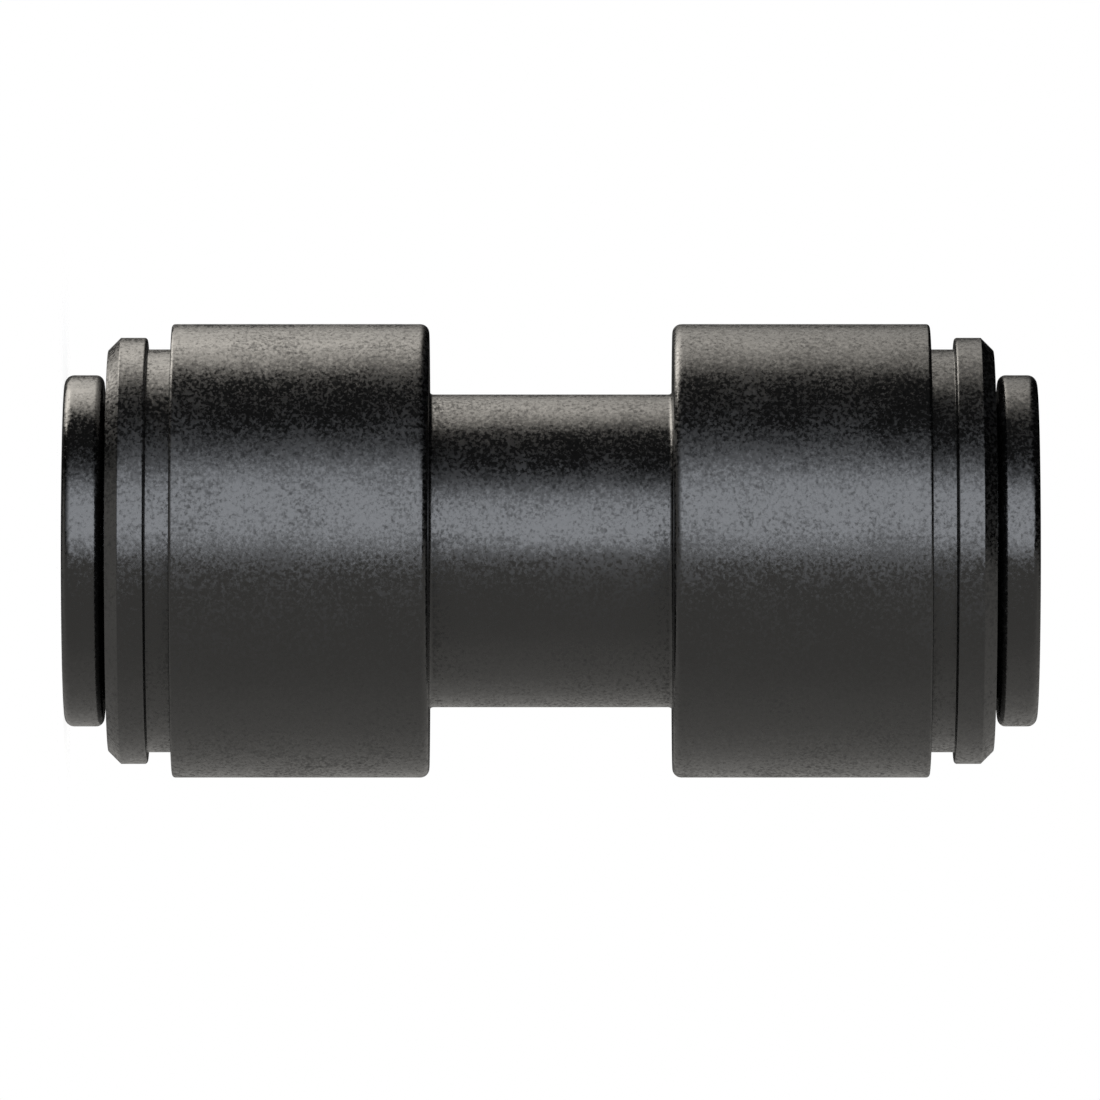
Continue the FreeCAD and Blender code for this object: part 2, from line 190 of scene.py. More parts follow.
def placed(name, data):
    """A new object at the origin, unturned."""
    piece = bpy.data.objects.new(name, data)
    bpy.context.scene.collection.objects.link(piece)
    return piece


def placed_mesh(name, mesh):
    """A new object from a mesh that is being built."""
    data = bpy.data.meshes.new(name)
    mesh.to_mesh(data)
    mesh.free()
    return placed(name, data)


def discard(*helpers):
    """Removes objects that only helped to make a piece."""
    for helper in helpers:
        bpy.data.objects.remove(helper)


def axes_turn(right, up, back):
    """The turn that points an object's own X, Y and Z right, up and back."""
    return Matrix((right, up, back)).transposed().to_4x4()


def rounded(corners):
    """A closed outline through (radius, level, round) corners.

    Each corner becomes an arc with a holding point on each side.
    """
    points = []
    count = len(corners)
    for number, (radius, level, size) in enumerate(corners):
        here = Vector((radius, level))
        back = Vector(corners[number - 1][:2]) - here
        ahead = Vector(corners[(number + 1) % count][:2]) - here
        back_length, ahead_length = back.length, ahead.length
        back.normalize()
        ahead.normalize()
        half = back.angle(ahead) / 2
        reach = min(size / math.tan(half), ROUND_SHARE * back_length, ROUND_SHARE * ahead_length)
        size = reach * math.tan(half)
        centre = here + (back + ahead).normalized() * (size / math.sin(half))
        held = reach + HOLD * reach
        steps = LARGE_ROUND_STEPS if size > LARGE_ROUND else SMALL_ROUND_STEPS
        points.append(here + back * min(held, HOLD_SHARE * back_length))
        first, last = here + back * reach - centre, here + ahead * reach - centre
        sweep = first.angle_signed(last)
        for step in range(steps + 1):
            turn = Matrix.Rotation(-sweep * step / steps, 2)
            points.append(centre + turn @ first)
        points.append(here + ahead * min(held, HOLD_SHARE * ahead_length))
    return points


def outline_curve(name, points, path_radius):
    """A flat closed curve: across is the distance from the lathe's path, and down is the level.

    The sweep round the path carries the curve's Y axis to -Z, and makes faces that point outwards
    from an outline that runs up the inside and down the outside.
    """
    curve = bpy.data.curves.new(name, "CURVE")
    curve.dimensions = "2D"
    curve.fill_mode = "NONE"
    spline = curve.splines.new("POLY")
    spline.points.add(len(points) - 1)
    for point, place in zip(spline.points, points):
        point.co = ((place.x - path_radius) * MM, -place.y * MM, 0.0, 1.0)
    spline.use_cyclic_u = True
    return placed(name, curve)


def skinned(name, mesh, rings):
    """A closed solid through rings of points, with a flat face at each end."""
    count = len(rings[0])
    for back, ahead in zip(rings, rings[1:]):
        for number in range(count):
            following = (number + 1) % count
            mesh.faces.new((back[number], ahead[number], ahead[following], back[following]))
    mesh.faces.new(rings[0])
    mesh.faces.new(reversed(rings[-1]))
    bmesh.ops.recalc_face_normals(mesh, faces=mesh.faces)
    return placed_mesh(name, mesh)


# Node trees


def new_tree(name, kind, inputs, outputs):
    """A node tree with named sockets. An input may bring the value that it starts with."""
    tree = bpy.data.node_groups.new(name, kind)
    for label, socket_kind, *start in inputs:
        socket = tree.interface.new_socket(label, in_out="INPUT", socket_type=socket_kind)
        if start:
            socket.default_value = start[0]
    for label, socket_kind in outputs:
        tree.interface.new_socket(label, in_out="OUTPUT", socket_type=socket_kind)
    return tree, tree.nodes.new("NodeGroupInput"), tree.nodes.new("NodeGroupOutput")


def feed(tree, socket, source):
    """Links a socket to another one, or gives it a plain value."""
    if isinstance(source, bpy.types.NodeSocket):
        tree.links.new(source, socket)
    else:
        socket.default_value = source


def math_node(tree, operation, *sources):
    """Arithmetic on one or two numbers."""
    node = tree.nodes.new("ShaderNodeMath")
    node.operation = operation
    for socket, source in zip(node.inputs, sources):
        feed(tree, socket, source)
    return node.outputs["Value"]


def vector_node(tree, operation, *sources):
    """Arithmetic on one or two vectors, or on a vector and a scale."""
    node = tree.nodes.new("ShaderNodeVectorMath")
    node.operation = operation
    sockets = (node.inputs[0], node.inputs["Scale" if operation == "SCALE" else 1])
    for socket, source in zip(sockets, sources):
        feed(tree, socket, source)
    return node.outputs["Value" if operation == "LENGTH" else "Vector"]


def mix_node(tree, factor, first, second, blend="MIX"):
    """Two colours mixed."""
    node = tree.nodes.new("ShaderNodeMix")
    node.data_type = "RGBA"
    node.blend_type = blend
    feed(tree, node.inputs["Factor"], factor)
    feed(tree, node.inputs["A"], first)
    feed(tree, node.inputs["B"], second)
    return node.outputs["Result"]


def smooth_step(tree, source, start, full):
    """0 before start, 1 past full, and an even passage between them."""
    node = tree.nodes.new("ShaderNodeMapRange")
    node.interpolation_type = "SMOOTHSTEP"
    feed(tree, node.inputs["Value"], source)
    feed(tree, node.inputs["From Min"], start)
    feed(tree, node.inputs["From Max"], full)
    return node.outputs["Result"]


def shaded(colour, brightness):
    """A colour at a brightness, fully opaque."""
    return (*[brightness * channel for channel in colour], 1.0)


def ramp_node(tree, source, stops):
    """A smooth colour ramp through (place, brightness, tint) stops."""
    node = tree.nodes.new("ShaderNodeValToRGB")
    band = node.color_ramp
    band.interpolation = "EASE"
    while len(band.elements) < len(stops):
        band.elements.new(0.5)
    for element, (place, brightness, tint) in zip(band.elements, stops):
        element.position = place
        element.color = shaded(tint, brightness)
    feed(tree, node.inputs["Fac"], source)
    return node.outputs["Color"]


# Trees that shape the pieces

GEOMETRY = ("Geometry", "NodeSocketGeometry")
FINISH = ("Finish", "NodeSocketMaterial")
LATHE_INPUTS = (GEOMETRY, ("Around", "NodeSocketInt"), ("Path Radius", "NodeSocketFloat"), FINISH)


def finish_tree(tree, geometry, shown, out, crease=CREASE):
    """Ends a tree: real geometry, smooth faces with sharp creases, and the finish."""
    realize = tree.nodes.new("GeometryNodeRealizeInstances")
    smooth = tree.nodes.new("GeometryNodeSetShadeSmooth")
    smooth.domain = "FACE"
    angle = tree.nodes.new("GeometryNodeInputMeshEdgeAngle")
    sharp = tree.nodes.new("FunctionNodeCompare")
    sharp.operation = "GREATER_THAN"
    sharp.inputs["B"].default_value = math.radians(crease)
    edges = tree.nodes.new("GeometryNodeSetShadeSmooth")
    edges.domain = "EDGE"
    edges.inputs["Shade Smooth"].default_value = False
    paint = tree.nodes.new("GeometryNodeSetMaterial")
    link = tree.links.new
    link(geometry, realize.inputs["Geometry"])
    link(realize.outputs["Geometry"], smooth.inputs["Geometry"])
    link(angle.outputs["Unsigned Angle"], sharp.inputs["A"])
    link(sharp.outputs["Result"], edges.inputs["Selection"])
    link(smooth.outputs["Geometry"], edges.inputs["Geometry"])
    link(edges.outputs["Geometry"], paint.inputs["Geometry"])
    link(shown.outputs["Finish"], paint.inputs["Material"])
    link(paint.outputs["Geometry"], out.inputs["Geometry"])


def lathe_nodes(tree, shown):
    """Turns the outline about Z: it is swept round a circle of the path's radius."""
    circle = tree.nodes.new("GeometryNodeCurvePrimitiveCircle")
    sweep = tree.nodes.new("GeometryNodeCurveToMesh")
    link = tree.links.new
    link(shown.outputs["Around"], circle.inputs["Resolution"])
    link(shown.outputs["Path Radius"], circle.inputs["Radius"])
    link(circle.outputs["Curve"], sweep.inputs["Curve"])
    link(shown.outputs["Geometry"], sweep.inputs["Profile Curve"])
    return sweep.outputs["Mesh"]


def polar_nodes(tree, shape, count, first_step):
    """Copies of a shape, evenly spaced about Z, the first of them first_step steps round."""
    points = tree.nodes.new("GeometryNodePoints")
    index = tree.nodes.new("GeometryNodeInputIndex")
    spin = tree.nodes.new("ShaderNodeCombineXYZ")
    copies = tree.nodes.new("GeometryNodeInstanceOnPoints")
    steps = math_node(tree, "ADD", index.outputs["Index"], first_step)
    share = math_node(tree, "DIVIDE", steps, count)
    link = tree.links.new
    link(count, points.inputs["Count"])
    link(math_node(tree, "MULTIPLY", share, math.tau), spin.inputs["Z"])
    link(points.outputs["Points"], copies.inputs["Points"])
    link(shape, copies.inputs["Instance"])
    link(spin.outputs["Vector"], copies.inputs["Rotation"])
    return copies.outputs["Instances"]


def lathe_tree():
    """A piece that is only turned."""
    tree, shown, out = new_tree("turned_piece", "GeometryNodeTree", LATHE_INPUTS, (GEOMETRY,))
    finish_tree(tree, lathe_nodes(tree, shown), shown, out)
    return tree


def collet_tree():
    """A turned blank, cut by a ring of finger slots and a ring of tooth slots."""
    inputs = (
        *LATHE_INPUTS,
        ("Fingers", "NodeSocketInt"),
        ("Finger Slot", "NodeSocketObject"),
        ("Tooth Slot", "NodeSocketObject"),
    )
    tree, shown, out = new_tree("slotted_collet", "GeometryNodeTree", inputs, (GEOMETRY,))
    link = tree.links.new
    blank = lathe_nodes(tree, shown)
    # A tooth sits in the middle of each finger, so the slots between fingers are half a step on
    for label, first_step in (("Finger Slot", 0.5), ("Tooth Slot", 0.0)):
        cutter = tree.nodes.new("GeometryNodeObjectInfo")
        link(shown.outputs[label], cutter.inputs["Object"])
        ring = polar_nodes(tree, cutter.outputs["Geometry"], shown.outputs["Fingers"], first_step)
        solid = tree.nodes.new("GeometryNodeRealizeInstances")
        link(ring, solid.inputs["Geometry"])
        cut = tree.nodes.new("GeometryNodeMeshBoolean")
        cut.operation = "DIFFERENCE"
        cut.solver = "EXACT"
        link(blank, cut.inputs["Mesh 1"])
        link(solid.outputs["Geometry"], cut.inputs["Mesh 2"])
        blank = cut.outputs["Mesh"]
    clean = tree.nodes.new("GeometryNodeMergeByDistance")
    clean.inputs["Distance"].default_value = SLIVER * MM
    link(blank, clean.inputs["Geometry"])
    finish_tree(tree, clean.outputs["Geometry"], shown, out)
    return tree


def teeth_tree():
    """Copies of the blade, evenly spaced about Z."""
    inputs = (GEOMETRY, ("Copies", "NodeSocketInt"), FINISH)
    tree, shown, out = new_tree("ring_of_teeth", "GeometryNodeTree", inputs, (GEOMETRY,))
    ring = polar_nodes(tree, shown.outputs["Geometry"], shown.outputs["Copies"], 0.0)
    finish_tree(tree, ring, shown, out, TOOTH_CREASE)
    return tree


def grown(source, tree, settings, name, flipped=False):
    """Runs a tree on an object and keeps the result as a plain mesh.

    A flipped piece goes to the lower end of the connector.
    """
    modifier = source.modifiers.new("grow", "NODES")
    modifier.node_group = tree
    for item in tree.interface.items_tree:
        if item.in_out == "INPUT" and item.name in settings:
            modifier[item.identifier] = settings[item.name]
    bpy.context.view_layer.update()
    graph = bpy.context.evaluated_depsgraph_get()
    mesh = bpy.data.meshes.new_from_object(source.evaluated_get(graph))
    source.modifiers.clear()
    if flipped:
        mesh.transform(Matrix.Rotation(math.pi, 4, "X"))
    mesh.name = name
    return placed(name, mesh)


def turned_piece(name, points, finish, flipped=False, tree="lathe", cuts=None):
    """A piece from the lathe, and from the cuts that its tree makes after that."""
    path_radius = sum(point.x for point in points) / len(points)
    source = outline_curve(name + "_outline", points, path_radius)
    settings = {"Around": AROUND, "Path Radius": path_radius * MM, "Finish": finish}
    settings.update(cuts or {})
    piece = grown(source, TREES[tree], settings, name, flipped)
    discard(source)
    return piece


TREES = {"lathe": lathe_tree(), "collet": collet_tree(), "teeth": teeth_tree()}


# Materials

# The grain is drawn out along Y. The pits that dull the gloss are the same noise, moved aside
GRAIN_STRETCH = (1.0, 0.6, 1.0)
PIT_SHIFT = (0.03, 0.01, 0.02)
NOISE_DETAIL = 2.0
NOISE_ROUGHNESS = 0.7
# The faint waves of the wall: their size, how far they lean, and their share in the roughness
WAVE_SCALE = 260.0
WAVE_LEAN = 0.06
WAVE_SHARE = 0.4
# The roughness doesn't fall below this, and bends towards it over this width
LEAST_ROUGHNESS = 0.1
LEAST_ROUGHNESS_BEND = 0.15
# The darkest and the palest shade that the grain gives a colour, as shares of it
DARKEST = 0.6
PALEST = 1.4
PLASTIC_IOR = 1.48
RUBBER_IOR = 1.52


def noise_node(tree, place, scale):
    """A noise texture; its Fac and its three colour channels lie about 0.5."""
    node = tree.nodes.new("ShaderNodeTexNoise")
    node.inputs["Detail"].default_value = NOISE_DETAIL
    node.inputs["Roughness"].default_value = NOISE_ROUGHNESS
    feed(tree, node.inputs["Vector"], place)
    feed(tree, node.inputs["Scale"], scale)
    return node


def leaning(tree, noise, amount):
    """A noise's colour as a small vector that leans every way."""
    centred = vector_node(tree, "SUBTRACT", noise.outputs["Color"], (0.5, 0.5, 0.5))
    return vector_node(tree, "SCALE", centred, amount)


def moulded_grain():
    """The dull grain of an eroded mould: tiny facets lean every way on a faintly wavy wall."""
    inputs = (
        ("Scale", "NodeSocketFloat", 5500.0),
        ("Lean", "NodeSocketFloat", 0.27),
        ("Roughness", "NodeSocketFloat", 0.26),
        ("Roughness Spread", "NodeSocketFloat", 1.45),
    )
    outputs = (
        ("Normal", "NodeSocketVector"),
        ("Roughness", "NodeSocketFloat"),
        ("Shade", "NodeSocketFloat"),
    )
    tree, shown, out = new_tree("moulded_grain", "ShaderNodeTree", inputs, outputs)
    link = tree.links.new
    place = tree.nodes.new("ShaderNodeTexCoord").outputs["Object"]
    place = vector_node(tree, "MULTIPLY", place, GRAIN_STRETCH)
    facets = noise_node(tree, place, shown.outputs["Scale"])
    waves = noise_node(tree, place, WAVE_SCALE)
    pits = noise_node(tree, vector_node(tree, "ADD", place, PIT_SHIFT), shown.outputs["Scale"])

    wall = tree.nodes.new("ShaderNodeNewGeometry").outputs["Normal"]
    tilted = vector_node(tree, "ADD", wall, leaning(tree, facets, shown.outputs["Lean"]))
    tilted = vector_node(tree, "ADD", tilted, leaning(tree, waves, WAVE_LEAN))
    link(vector_node(tree, "NORMALIZE", tilted), out.inputs["Normal"])

    swell = math_node(tree, "MULTIPLY", waves.outputs["Fac"], WAVE_SHARE)
    uneven = math_node(tree, "ADD", pits.outputs["Fac"], swell)
    uneven = math_node(tree, "SUBTRACT", uneven, 0.5 + 0.5 * WAVE_SHARE)
    spread = math_node(tree, "MULTIPLY", uneven, shown.outputs["Roughness Spread"])
    rough = math_node(tree, "ADD", shown.outputs["Roughness"], spread)
    rough = math_node(tree, "SMOOTH_MAX", rough, LEAST_ROUGHNESS, LEAST_ROUGHNESS_BEND)
    link(rough, out.inputs["Roughness"])
    link(math_node(tree, "ADD", 1.0, uneven), out.inputs["Shade"])
    return tree


def grained(name, colour, metallic=0.0, ior=PLASTIC_IOR, **grain_values):
    """A material with the mould's grain and a colour that is a little uneven."""
    made = bpy.data.materials.new(name)
    made.use_nodes = True
    tree = made.node_tree
    shader = tree.nodes["Principled BSDF"]
    shader.inputs["Metallic"].default_value = metallic
    shader.inputs["IOR"].default_value = ior
    grain = tree.nodes.new("ShaderNodeGroup")
    grain.node_tree = GRAIN
    for label, value in grain_values.items():
        grain.inputs[label.replace("_", " ").title()].default_value = value
    # Shade lies about 1, which is the plain colour, halfway between the two shades
    factor = math_node(tree, "MULTIPLY", grain.outputs["Shade"], 0.5)
    tint = mix_node(tree, factor, shaded(colour, DARKEST), shaded(colour, PALEST))
    link = tree.links.new
    link(tint, shader.inputs["Base Color"])
    link(grain.outputs["Roughness"], shader.inputs["Roughness"])
    link(grain.outputs["Normal"], shader.inputs["Normal"])
    return made


def black_acetal(name, roughness):
    """The black plastic of the mouldings."""
    return grained(
        name, (0.001, 0.001, 0.001),
        scale=5500.0, lean=0.27, roughness=roughness, roughness_spread=1.45,
    )


def nitrile_rubber():
    """The duller black of the seals."""
    return grained(
        "nitrile_rubber", (0.012, 0.012, 0.012), ior=RUBBER_IOR,
        scale=9000.0, lean=0.15, roughness=0.4, roughness_spread=0.2,
    )


def tooth_steel():
    """The bare steel of the teeth."""
    return grained(
        "tooth_steel", (0.62, 0.62, 0.60), metallic=1.0,
        scale=12000.0, lean=0.1, roughness=0.28, roughness_spread=0.2,
    )


GRAIN = moulded_grain()
FINISHES = {
    "body": black_acetal("black_acetal_body", 0.26),
    "cap": black_acetal("black_acetal_cap", 0.26),
    "collet": black_acetal("black_acetal_collet", 0.2),
    "seal": nitrile_rubber(),
    "tooth": tooth_steel(),
}


# Pieces


def connector_body():
    """The one moulding between the two ports."""
    upper = [
        (WATERWAY_R, STOP_FACE, STOP_EDGE),
        (PILOT_R, STOP_FACE, INNER_EDGE),
        (PILOT_R, POCKET_FLOOR - PILOT_CHAMFER, EDGE),
        (PILOT_R + PILOT_CHAMFER, POCKET_FLOOR, EDGE),
        (POCKET_R, POCKET_FLOOR, SOFT_EDGE),
        (POCKET_R, POCKET_MOUTH, EDGE),
        (CHAMBER_R, POCKET_MOUTH, INNER_EDGE),
        (CHAMBER_R, CAP_END, EDGE),
        (SOCKET_R, CAP_END, EDGE),
        (SOCKET_R, BODY_END - SOCKET_CHAMFER, SOCKET_EDGE),
        (SOCKET_R + SOCKET_CHAMFER, BODY_END, SOCKET_EDGE),
        (DRUM_R, BODY_END, DRUM_END_ROUND),
        (DRUM_R, NECK_END, DRUM_INNER_ROUND),
        (NECK_R, NECK_END, NECK_FILLET),
    ]
    lower = [(radius, -level, size) for radius, level, size in reversed(upper)]
    piece = turned_piece("body_moulding", rounded(upper + lower), FINISHES["body"])
    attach(piece, "fitting")
    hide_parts("connector_body")


def end_cap(end, flipped):
    """The insert that closes a drum: bevelled rim, cover groove and cone seat."""
    corners = [
        (THROAT_R + THROAT_CHAMFER, CAP_FACE, CRISP_EDGE),
        (RIM_R - RIM_BEVEL, CAP_FACE, EDGE),
        (RIM_R, CAP_FACE - RIM_BEVEL, EDGE),
        (RIM_R, RIM_BACK, BLUNT_EDGE),
        (SPIGOT_R, RIM_BACK, EDGE),
        (SPIGOT_R, CAP_END + SPIGOT_CHAMFER, CRISP_EDGE),
        (SPIGOT_R - SPIGOT_CHAMFER, CAP_END, CRISP_EDGE),
        (CHAMBER_R, CAP_END, EDGE),
        (CHAMBER_R, SEAT_LOW, INNER_EDGE),
        (THROAT_R, SEAT_HIGH, SOFT_EDGE),
        (THROAT_R, CAP_FACE - THROAT_CHAMFER, CRISP_EDGE),
    ]
    piece = turned_piece(f"cap_{end}", rounded(corners), FINISHES["cap"], flipped)
    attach(piece, "fitting")
    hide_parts(f"end_cap_{end}")


def seal_ring(end, flipped):
    """Round section with the fine flash line that its mould leaves outside and inside."""
    half = (SEAL_HIGH - SEAL_BOTTOM) / 2
    middle = (SEAL_HIGH + SEAL_BOTTOM) / 2
    points = []
    for step in range(SEAL_STEPS):
        angle = -math.tau * step / SEAL_STEPS
        reach = half if step % (SEAL_STEPS // 2) == 0 else half - FLASH
        radius = SEAL_R - half + reach * math.cos(angle)
        points.append(Vector((radius, middle + reach * math.sin(angle))))
    piece = turned_piece(f"seal_{end}", points, FINISHES["seal"], flipped)
    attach(piece, "fitting")
    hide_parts(f"seal_ring_{end}")


def finger_slot():
    """The cutter of one round-ended slot: a bar along +X."""
    half = SLOT_WIDTH / 2
    start = TIP_END - CUTTER_OVERRUN
    crown = SLOT_END - half
    outline = [(-half, start), (half, start)]
    for step in range(SLOT_CROWN_STEPS + 1):
        angle = math.pi * step / SLOT_CROWN_STEPS
        outline.append((half * math.cos(angle), crown + half * math.sin(angle)))
    mesh = bmesh.new()
    rings = []
    for radius in (SLOT_CUTTER_R, CHAMBER_R + CUTTER_OVERRUN):
        places = [Vector((radius, across, level)) * MM for across, level in outline]
        rings.append([mesh.verts.new(place) for place in places])
    return skinned("finger_slot_cutter", mesh, rings)


def tooth_section(grow):
    """The blade's section, or its slot's when grown by a fit."""
    back = TOOTH_BACK_R + grow
    rise = (back - TOOTH_EDGE_R) * TOOTH_LEAN
    cosine = math.cos(math.atan(TOOTH_LEAN))
    depth = (TOOTH_THICKNESS + 2 * grow) / cosine
    edge = TOOTH_EDGE + grow / cosine
    if grow:
        mouth = (TOOTH_EDGE_R, edge - depth)
    else:
        mouth = (TOOTH_EDGE_R + TOOTH_BEVEL, edge + TOOTH_BEVEL * TOOTH_LEAN - depth)
    return [(TOOTH_EDGE_R, edge), (back, edge + rise), (back, edge + rise - depth), mouth]


def arc_solid(name, section, span):
    """A solid that follows the tube: a flat section turned through a span, centred on +X."""
    mesh = bmesh.new()
    rings = []
    for step in range(TOOTH_STEPS + 1):
        angle = math.radians(span) * (step / TOOTH_STEPS - 0.5)
        turn = Matrix.Rotation(angle, 3, "Z")
        places = [turn @ Vector((radius, 0.0, level)) * MM for radius, level in section]
        rings.append([mesh.verts.new(place) for place in places])
    return skinned(name, mesh, rings)


def collet(end, flipped, slot_cutter, tooth_cutter):
    """The release collet: push flange, sleeve, and fingers whose heads hold the teeth."""
    corners = [
        (GUIDE_R + GUIDE_CHAMFER, FLANGE_FACE, GUIDE_EDGE),
        (FLANGE_R, FLANGE_FACE, FLANGE_FACE_ROUND),
        (FLANGE_R, FLANGE_BACK, FLANGE_BACK_ROUND),
        (SLEEVE_R, FLANGE_BACK, BLUNT_EDGE),
        (SLEEVE_R, HEAD_TOP, SOFT_EDGE),
        (HEAD_R, HEAD_HIGH, BLUNT_EDGE),
        (HEAD_R, HEAD_LOW, BLUNT_EDGE),
        (TIP_R, TIP_END, INNER_EDGE),
        (RELIEF_R, TIP_END, INNER_EDGE),
        (RELIEF_R, RELIEF_END, CRISP_EDGE),
        (GUIDE_R, RELIEF_END, EDGE),
        (GUIDE_R, FLANGE_FACE - GUIDE_CHAMFER, GUIDE_EDGE),
    ]
    name = f"collet_{end}_moulding"
    cuts = {"Fingers": FINGERS, "Finger Slot": slot_cutter, "Tooth Slot": tooth_cutter}
    piece = turned_piece(name, rounded(corners), FINISHES["collet"], flipped, "collet", cuts)
    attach(piece, f"{end}_collet")
    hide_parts(f"collet_{end}")


def teeth(end, flipped, blade):
    """The ring of blades in a collet's heads."""
    settings = {"Copies": FINGERS, "Finish": FINISHES["tooth"]}
    piece = grown(blade, TREES["teeth"], settings, f"grip_teeth_{end}", flipped)
    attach(piece, f"{end}_collet")
    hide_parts(*[f"grip_tooth_{end}_{number + 1}" for number in range(FINGERS)])


def both_ends():
    """The upper end, and the same pieces flipped to the lower end."""
    slot_cutter = finger_slot()
    tooth_cutter = arc_solid("tooth_slot_cutter", tooth_section(FIT), TOOTH_SLOT_SPAN)
    blade = arc_solid("blade", tooth_section(0.0), TOOTH_SPAN)
    for end, flipped in (("upper", False), ("lower", True)):
        end_cap(end, flipped)
        seal_ring(end, flipped)
        collet(end, flipped, slot_cutter, tooth_cutter)
        teeth(end, flipped, blade)
    discard(slot_cutter, tooth_cutter, blade)


connector_body()
both_ends()


# Studio

CAMERA_DISTANCE = 0.954
# The camera sits this far from the connector's middle, towards -Z and -X
CAMERA_ASIDE = 0.000042
LENS = 632.0
SENSOR = 36.0
# How near and how far the camera sees
SIGHT_START = 0.01
SIGHT_END = 20.0
# The floor is solid out to the smaller radius, and fades out to the larger one. It lies a hair
# below the connector
FLOOR_R = 0.0165
FLOOR_SOLID_R = 0.0086
FLOOR_GAP = 0.00002
FLOOR_SIDES = 96
FLOOR_GREY = (0.3, 0.3, 0.3, 1.0)
FLOOR_ROUGHNESS = 0.9
FLOOR_GLOW = 0.88
WHITE = (1.0, 1.0, 1.0, 1.0)
COOL = (0.93, 0.97, 1.0)
WARM = (1.0, 0.975, 0.93)
NEUTRAL = (1.0, 1.0, 1.0)
# The studio's walls: degrees round the connector from the camera's side towards the photograph's
# top, then brightness and tint
WALLS = (
    (-180.0, 0.05, WARM),
    (-168.0, 0.42, WARM),
    (-155.0, 0.5, WARM),
    (-135.0, 0.68, WARM),
    (-112.0, 0.84, WARM),
    (-85.0, 0.96, WARM),
    (-60.0, 0.84, WARM),
    (-10.0, 0.8, WARM),
    (10.0, 0.6, NEUTRAL),
    (50.0, 0.12, COOL),
    (60.0, 0.08, COOL),
    (74.0, 0.09, NEUTRAL),
    (92.0, 0.08, NEUTRAL),
    (106.0, 0.2, WARM),
    (125.0, 0.5, WARM),
    (148.0, 0.45, WARM),
    (162.0, 0.1, WARM),
    (180.0, 0.05, WARM),
)
# On the photograph's upper side the walls are dark low down and high up: height from -1 below to
# 1 above, then the share of their brightness
WALL_HEIGHTS = ((-1.0, 0.1), (-0.75, 0.12), (-0.62, 1.0), (0.03, 1.0), (0.2, 0.01), (1.0, 0.005))
# Brightness of the pale ground below, and the heights where it ends and is full
GROUND = 0.95
GROUND_EDGE = -0.87
GROUND_FULL = -0.98


def camera():
    """The camera, level with the connector's middle, with the picture's right along +Z."""
    data = bpy.data.cameras.new("photo_camera")
    data.lens = LENS
    data.sensor_width = SENSOR
    data.clip_start = SIGHT_START
    data.clip_end = SIGHT_END
    view = placed("photo_camera", data)
    right, up, back = Vector((0, 0, 1)), Vector((-1, 0, 0)), Vector((0, -1, 0))
    place = back * CAMERA_DISTANCE + (up - right) * CAMERA_ASIDE
    view.matrix_world = Matrix.Translation(place) @ axes_turn(right, up, back)
    bpy.context.scene.camera = view


def around_axis(angle):
    """The direction at an angle from the camera's side, towards the photograph's top."""
    return Vector((-math.sin(math.radians(angle)), -math.cos(math.radians(angle)), 0.0))


def softbox(name, angle, distance, width, length, level, lean, brightness, tint, across, along):
    """A lamp panel that faces the connector's axis, with its middle at a level.

    lean turns it in its own plane about the point level with the connector's middle. across and
    along are (place, glow) stops that say how its light fades to its edges.
    """
    data = bpy.data.lights.new(name, "AREA")
    data.shape = "RECTANGLE"
    data.size = width
    data.size_y = length
    data.energy = brightness * math.pi * width * length
    data.color = tint
    data.use_nodes = True
    tree = data.node_tree
    split = tree.nodes.new("ShaderNodeSeparateXYZ")
    spot = tree.nodes.new("ShaderNodeNewGeometry").outputs["Parametric"]
    tree.links.new(spot, split.inputs["Vector"])
    fades = []
    for axis, fade in (("X", across), ("Y", along)):
        stops = [(place, glow, NEUTRAL) for place, glow in fade]
        fades.append(ramp_node(tree, split.outputs[axis], stops))
    glow = math_node(tree, "MULTIPLY", *fades)
    tree.links.new(glow, tree.nodes["Emission"].inputs["Strength"])
    lamp = placed(name, data)
    back = around_axis(angle)
    up = Vector((0.0, 0.0, 1.0))
    turn = axes_turn(up.cross(back), up, back) @ Matrix.Rotation(math.radians(lean), 4, "Z")
    middle = Matrix.Translation((0.0, level, 0.0))
    lamp.matrix_world = Matrix.Translation(back * distance) @ turn @ middle
    lamp.visible_camera = False


def camera_mask(tree):
    """1 for what the camera sees, also through clear things, and 0 for light and gloss."""
    rays = tree.nodes.new("ShaderNodeLightPath").outputs
    return math_node(tree, "MAXIMUM", rays["Is Camera Ray"], rays["Is Transmission Ray"])


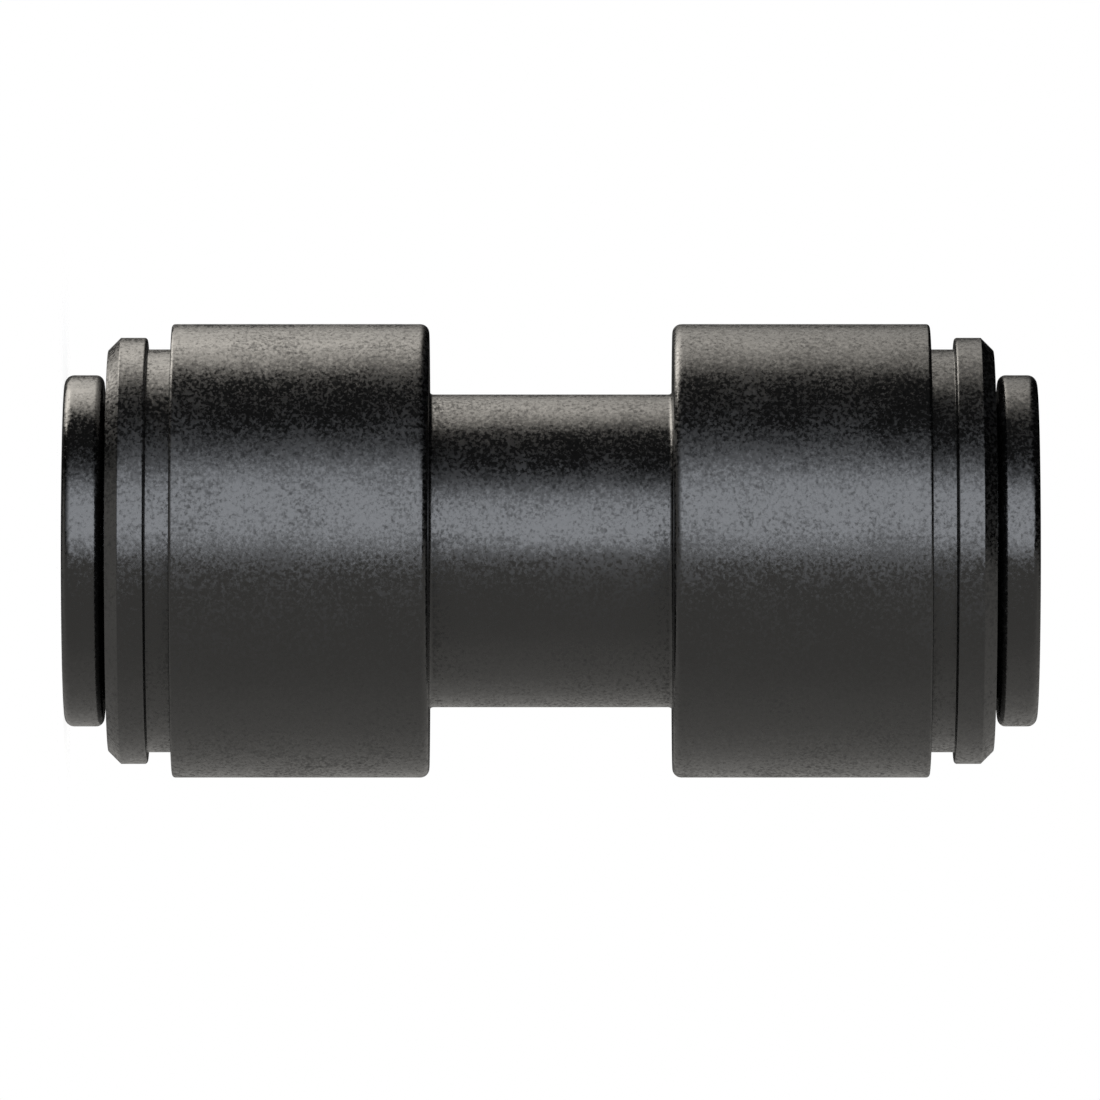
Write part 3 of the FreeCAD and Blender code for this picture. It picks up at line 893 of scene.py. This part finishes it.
def floor():
    """A round pale floor that fades out, under the connector's foot. The gloss doesn't see it."""
    mesh = bmesh.new()
    bmesh.ops.create_circle(mesh, cap_ends=True, segments=FLOOR_SIDES, radius=FLOOR_R)
    for vertex in mesh.verts:
        vertex.co.z = cad_bounds[0].z - FLOOR_GAP
    plane = placed_mesh("floor", mesh)
    paint = bpy.data.materials.new("pale_floor")
    paint.use_nodes = True
    tree = paint.node_tree
    shader = tree.nodes["Principled BSDF"]
    shader.inputs["Base Color"].default_value = FLOOR_GREY
    shader.inputs["Roughness"].default_value = FLOOR_ROUGHNESS
    shader.inputs["Specular IOR Level"].default_value = 0.0
    shader.inputs["Emission Color"].default_value = WHITE
    glow = math_node(tree, "MULTIPLY", camera_mask(tree), FLOOR_GLOW)
    tree.links.new(glow, shader.inputs["Emission Strength"])
    place = tree.nodes.new("ShaderNodeTexCoord").outputs["Object"]
    flat = vector_node(tree, "MULTIPLY", place, (1.0, 1.0, 0.0))
    fade = smooth_step(tree, vector_node(tree, "LENGTH", flat), FLOOR_R, FLOOR_SOLID_R)
    # From below the floor is clear, so that it doesn't hide the connector
    underside = tree.nodes.new("ShaderNodeNewGeometry").outputs["Backfacing"]
    above = math_node(tree, "SUBTRACT", 1.0, underside)
    tree.links.new(math_node(tree, "MULTIPLY", fade, above), shader.inputs["Alpha"])
    plane.data.materials.append(paint)
    plane.visible_glossy = False
    # The connector stands on its lower collet, so the floor stays under that when the collet slides
    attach(plane, "lower_collet")


def surroundings():
    """White where the camera looks, and a soft studio round the connector for light and gloss."""
    world = bpy.data.worlds.new("studio")
    bpy.context.scene.world = world
    world.use_nodes = True
    tree = world.node_tree
    link = tree.links.new
    split = tree.nodes.new("ShaderNodeSeparateXYZ")
    link(tree.nodes.new("ShaderNodeTexCoord").outputs["Generated"], split.inputs["Vector"])

    upwards = math_node(tree, "MULTIPLY", split.outputs["X"], -1.0)
    near = math_node(tree, "MULTIPLY", split.outputs["Y"], -1.0)
    angle = math_node(tree, "ARCTAN2", upwards, near)
    turn = math_node(tree, "ADD", math_node(tree, "DIVIDE", angle, math.tau), 0.5)
    stops = [(degrees / 360.0 + 0.5, brightness, tint) for degrees, brightness, tint in WALLS]
    walls = ramp_node(tree, turn, stops)
    height = math_node(tree, "ADD", math_node(tree, "MULTIPLY", split.outputs["Z"], 0.5), 0.5)
    stops = [(level * 0.5 + 0.5, share, NEUTRAL) for level, share in WALL_HEIGHTS]
    upper_side = math_node(tree, "GREATER_THAN", upwards, 0.0)
    room = mix_node(tree, upper_side, walls, ramp_node(tree, height, stops), "MULTIPLY")
    below = smooth_step(tree, split.outputs["Z"], GROUND_EDGE, GROUND_FULL)
    room = mix_node(tree, below, room, shaded(WARM, GROUND))

    studio = tree.nodes["Background"]
    link(room, studio.inputs["Color"])
    white = tree.nodes.new("ShaderNodeBackground")
    white.inputs["Color"].default_value = WHITE
    mix = tree.nodes.new("ShaderNodeMixShader")
    link(camera_mask(tree), mix.inputs["Fac"])
    link(studio.outputs["Background"], mix.inputs[1])
    link(white.outputs["Background"], mix.inputs[2])
    link(mix.outputs["Shader"], tree.nodes["World Output"].inputs["Surface"])


camera()
softbox(
    "front_panel", angle=27.5, distance=0.8, width=1.184, length=2.4, level=-0.35, lean=-10.0,
    brightness=5.5, tint=(0.89, 0.93, 1.0),
    across=((0.0, 0.0), (0.17, 0.12), (0.455, 1.0), (0.68, 1.0), (0.97, 0.0), (1.0, 0.0)),
    along=(
        (0.0, 0.0), (0.07, 0.18), (0.33, 0.26), (0.44, 0.48), (0.6, 1.0), (0.86, 1.0), (1.0, 0.0),
    ),
)
softbox(
    "rear_panel", angle=128.5, distance=0.25, width=0.306, length=0.355, level=-0.0975, lean=0.0,
    brightness=7.0, tint=(1.0, 0.94, 0.85),
    across=((0.0, 0.0), (0.12, 0.17), (0.34, 0.52), (0.52, 1.0), (0.72, 1.0), (1.0, 0.0)),
    along=(
        (0.0, 0.0), (0.06, 0.04), (0.17, 1.0), (0.27, 1.0), (0.46, 1.0), (0.6, 0.58), (1.0, 0.0),
    ),
)
floor()
surroundings()
bpy.context.scene.view_settings.view_transform = "Standard"
